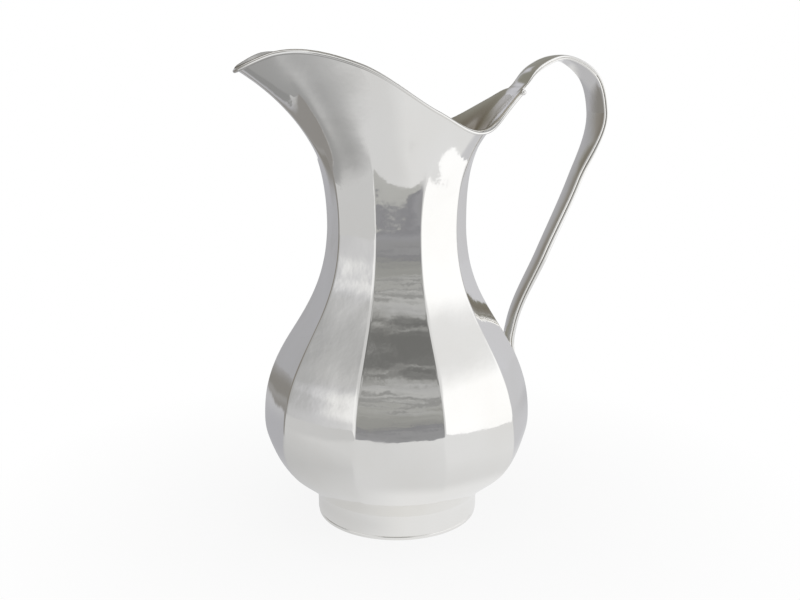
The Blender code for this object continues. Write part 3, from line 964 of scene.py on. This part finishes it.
def studio_world():
    """The studio that the silver mirrors, white overhead and plain white to the camera."""
    world = bpy.data.worlds.new("studio")
    bpy.context.scene.world = world
    world.use_nodes = True
    tree = world.node_tree
    sight = tree.nodes.new("ShaderNodeTexCoord").outputs["Generated"]
    bearing = math_node(tree, "ARCTAN2", dot_node(tree, sight, aside), dot_node(tree, sight, toward))
    degrees = math_node(tree, "MULTIPLY", bearing, DEGREES)
    turn = math_node(tree, "MULTIPLY_ADD", bearing, 1.0 / (2.0 * math.pi), 0.5)
    upward = dot_node(tree, sight, Vector((0.0, 0.0, 1.0)))
    elevation = math_node(tree, "MULTIPLY", math_node(tree, "ARCSINE", upward), DEGREES)

    tones = side_tones(tree, turn, degrees, elevation)
    tones = with_back(tree, turn, degrees, elevation, tones)
    tones = with_room(tree, bearing, degrees, elevation, tones)
    lowered = math_node(tree, "MULTIPLY", span(tree, degrees, 105.0, 125.0), -10.0)
    overhead = span(tree, math_node(tree, "ADD", elevation, lowered), 56.0, 66.0)
    tones = mixed(tree, overhead, tones, grey(1.0))
    rays = tree.nodes.new("ShaderNodeLightPath")
    tones = mixed(tree, rays.outputs["Is Camera Ray"], tones, grey(1.0))
    background = tree.nodes["Background"]
    tree.links.new(tones, background.inputs["Color"])
    background.inputs["Strength"].default_value = 1.0


# Table and card

MILLIMETRES = 1000.0
FLOOR_DROP = 0.0002
FLOOR_CORNERS = (
    (0.700, -1.3),
    (0.700, 0.800),
    (-1.3, 0.800),
    (-1.3, -1.3),
)
CARD_HEIGHT = 0.110
CARD_CORNERS = (
    (-0.080, -0.055),
    (-0.080, -0.145),
    (0.034, -0.145),
    (0.034, -0.210),
    (0.245, -0.210),
    (0.245, -0.055),
)
GRIP_NEAR, GRIP_RIGHT = -36.0, 104.0


def flat_sheet(name, corners, height):
    """A level sheet that faces up, its corners given as ways towards the camera and to the right."""
    mesh = bmesh.new()
    mesh.faces.new([mesh.verts.new(toward * near + aside * side) for near, side in corners])
    mesh.normal_update()
    if next(iter(mesh.faces)).normal.z < 0.0:
        bmesh.ops.reverse_faces(mesh, faces=mesh.faces)
    data = bpy.data.meshes.new(name)
    mesh.to_mesh(data)
    mesh.free()
    obj = bpy.data.objects.new(name, data)
    obj.location = AXIS + Vector((0.0, 0.0, height))
    bpy.context.scene.collection.objects.link(obj)
    return obj


def table_painted_light_and_shade(tree, near, right, distance, grain):
    """Painted light and shade of the table as the silver mirrors it, by the place on it in millimetres from
    the pitcher's axis: the pitcher's shadow to the left and behind, window light to the right.
    """
    left = math_node(tree, "MULTIPLY", right, -1.0)
    waver = math_node(tree, "MULTIPLY_ADD", grain, 80.0, -40.0)
    # Painted shadow of the pitcher: darker behind on the left; painted light: brighter to the right.
    left_tone = ramp(tree, span(tree, near, -60.0, 260.0, smooth=False), (
        (0.0, grey(0.43, 0.05)),
        (0.30, grey(0.52)),
        (0.47, grey(0.58)),
        (0.62, grey(0.65)),
        (1.0, grey(0.66)),
    ))
    right_tone = ramp(tree, span(tree, right, 0.0, 150.0, smooth=False), (
        (0.0, grey(0.67)),
        (1.0, grey(0.75)),
    ))
    tone = mixed(tree, span(tree, left, 0.0, 110.0), right_tone, left_tone)

    # Painted shade behind on the right, far to the left and further behind; painted light close to the foot.
    right_back = product(tree, span(tree, right, 60.0, 120.0), under(tree, near, -80.0, 0.0))
    tone = mixed(tree, right_back, tone, grey(0.58, 0.03))
    far_left = product(tree, span(tree, left, 280.0, 400.0), span(tree, near, -100.0, 20.0))
    tone = mixed(tree, far_left, tone, grey(0.58))
    by_foot = product(tree, under(tree, distance, 60.0, 90.0), span(tree, right, -30.0, 10.0))
    tone = mixed(tree, by_foot, tone, grey(0.80))
    near_back = product(tree, under(tree, near, -220.0, -120.0), span(tree, near, -600.0, -420.0))
    near_back = product(tree, near_back, under(tree, right, 150.0, 250.0))
    tone = mixed(tree, near_back, tone, grey(0.50, 0.03))

    # A dark painted shadow of the pitcher on the left behind it, and painted shade that the grip mirrors.
    ragged = math_node(tree, "ADD", near, waver)
    dark = product(tree, span(tree, left, 245.0, 270.0), under(tree, ragged, 34.0, 52.0))
    dark = product(tree, dark, span(tree, near, -330.0, -230.0))
    tone = mixed(tree, dark, tone, (0.28, 0.27, 0.26))
    grip_right = math_node(tree, "SUBTRACT", right, GRIP_RIGHT)
    grip_near = math_node(tree, "SUBTRACT", near, GRIP_NEAR)
    grip_bearing = math_node(tree, "ARCTAN2", grip_right, grip_near)
    from_grip = math_node(tree, "MULTIPLY", grip_bearing, DEGREES)
    grip_painted_shade = product(tree, span(tree, from_grip, -140.0, -127.0), under(tree, near, -350.0, -200.0))
    grip_painted_shade = product(tree, grip_painted_shade, span(tree, left, 50.0, 150.0))
    tone = mixed(tree, grip_painted_shade, tone, (0.25, 0.24, 0.225))

    # A painted pool of window light on the table to the right, behind the pitcher.
    ahead = math_node(tree, "MAXIMUM", math_node(tree, "SUBTRACT", near, 120.0), 0.0)
    beyond = math_node(tree, "MULTIPLY_ADD", ahead, -0.45, math_node(tree, "ADD", right, waver))
    window = product(tree, span(tree, beyond, 440.0, 456.0), span(tree, near, -330.0, -240.0))
    return mixed(tree, window, tone, grey(1.05))


def floor():
    """The white table: real shade on it near the foot, and in the silver its painted light and shade, set by
    the place on it.
    """
    obj = flat_sheet("floor", FLOOR_CORNERS, -FLOOR_DROP)
    material, tree = new_material("floor_paper")
    paper = tree.nodes["Principled BSDF"]
    paper.inputs["Roughness"].default_value = 0.9
    place = tree.nodes.new("ShaderNodeTexCoord").outputs["Object"]
    near = dot_node(tree, place, toward * MILLIMETRES)
    right = dot_node(tree, place, aside * MILLIMETRES)
    squares = math_node(tree, "MULTIPLY_ADD", near, near, product(tree, right, right))
    distance = math_node(tree, "SQRT", squares)
    grain = noise_node(tree, place, 14.0, 4.0)
    paper_tone = ramp(tree, grain, ((0.3, grey(0.90)), (0.7, grey(0.94))))
    tree.links.new(paper_tone, paper.inputs["Base Color"])

    rays = tree.nodes.new("ShaderNodeLightPath")
    fade = span(tree, distance, 60.0, 240.0, 0.88, 1.0, smooth=False)
    seen = blended(tree, fade, paper.outputs["BSDF"], glow(tree, grey(1.0)))
    # In the silver the table glows with painted light and shade instead of its own shading.
    tones = glow(tree, table_painted_light_and_shade(tree, near, right, distance, grain))
    mirrored = blended(tree, rays.outputs["Is Glossy Ray"], paper.outputs["BSDF"], tones)
    surface = blended(tree, rays.outputs["Is Camera Ray"], mirrored, seen)
    tree.links.new(surface, tree.nodes["Material Output"].inputs["Surface"])
    obj.data.materials.append(material)


def spout_card():
    """A glowing card below the spout, seen from above in the silver only, whose tones are painted shade that
    the spout mirrors.
    """
    obj = flat_sheet("spout_card", CARD_CORNERS, CARD_HEIGHT)
    obj.visible_camera = False
    obj.visible_diffuse = False
    obj.visible_shadow = False
    material, tree = new_material("card_painted_shade")
    tree.nodes.remove(tree.nodes["Principled BSDF"])
    place = tree.nodes.new("ShaderNodeTexCoord").outputs["Object"]
    near = dot_node(tree, place, toward * MILLIMETRES)
    left = dot_node(tree, place, -aside * MILLIMETRES)
    # Painted shade: darkest behind, paler towards the camera.
    tone = ramp(tree, span(tree, near, -80.0, 240.0, smooth=False), (
        (0.0, grey(0.27)),
        (0.34, grey(0.28)),
        (0.365, grey(0.33)),
        (0.56, grey(0.345)),
        (0.66, grey(0.37)),
        (0.75, grey(0.42)),
        (0.84, grey(0.49)),
        (0.92, grey(0.57)),
        (1.0, grey(0.64)),
    ))
    outer = product(tree, span(tree, left, 120.0, 168.0), span(tree, near, 40.0, 95.0))
    tone = mixed(tree, outer, tone, grey(0.48))
    edges = math_node(tree, "MAXIMUM", span(tree, left, 140.0, 208.0), span(tree, near, 175.0, 243.0))
    faded = product(tree, edges, span(tree, near, 50.0, 75.0))
    below = tree.nodes.new("ShaderNodeNewGeometry").outputs["Backfacing"]
    clear = tree.nodes.new("ShaderNodeBsdfTransparent").outputs["BSDF"]
    surface = blended(tree, math_node(tree, "MAXIMUM", below, faded), glow(tree, tone), clear)
    tree.links.new(surface, tree.nodes["Material Output"].inputs["Surface"])
    obj.data.materials.append(material)


studio_world()
floor()
spout_card()
bpy.context.scene.view_settings.view_transform = "Standard"
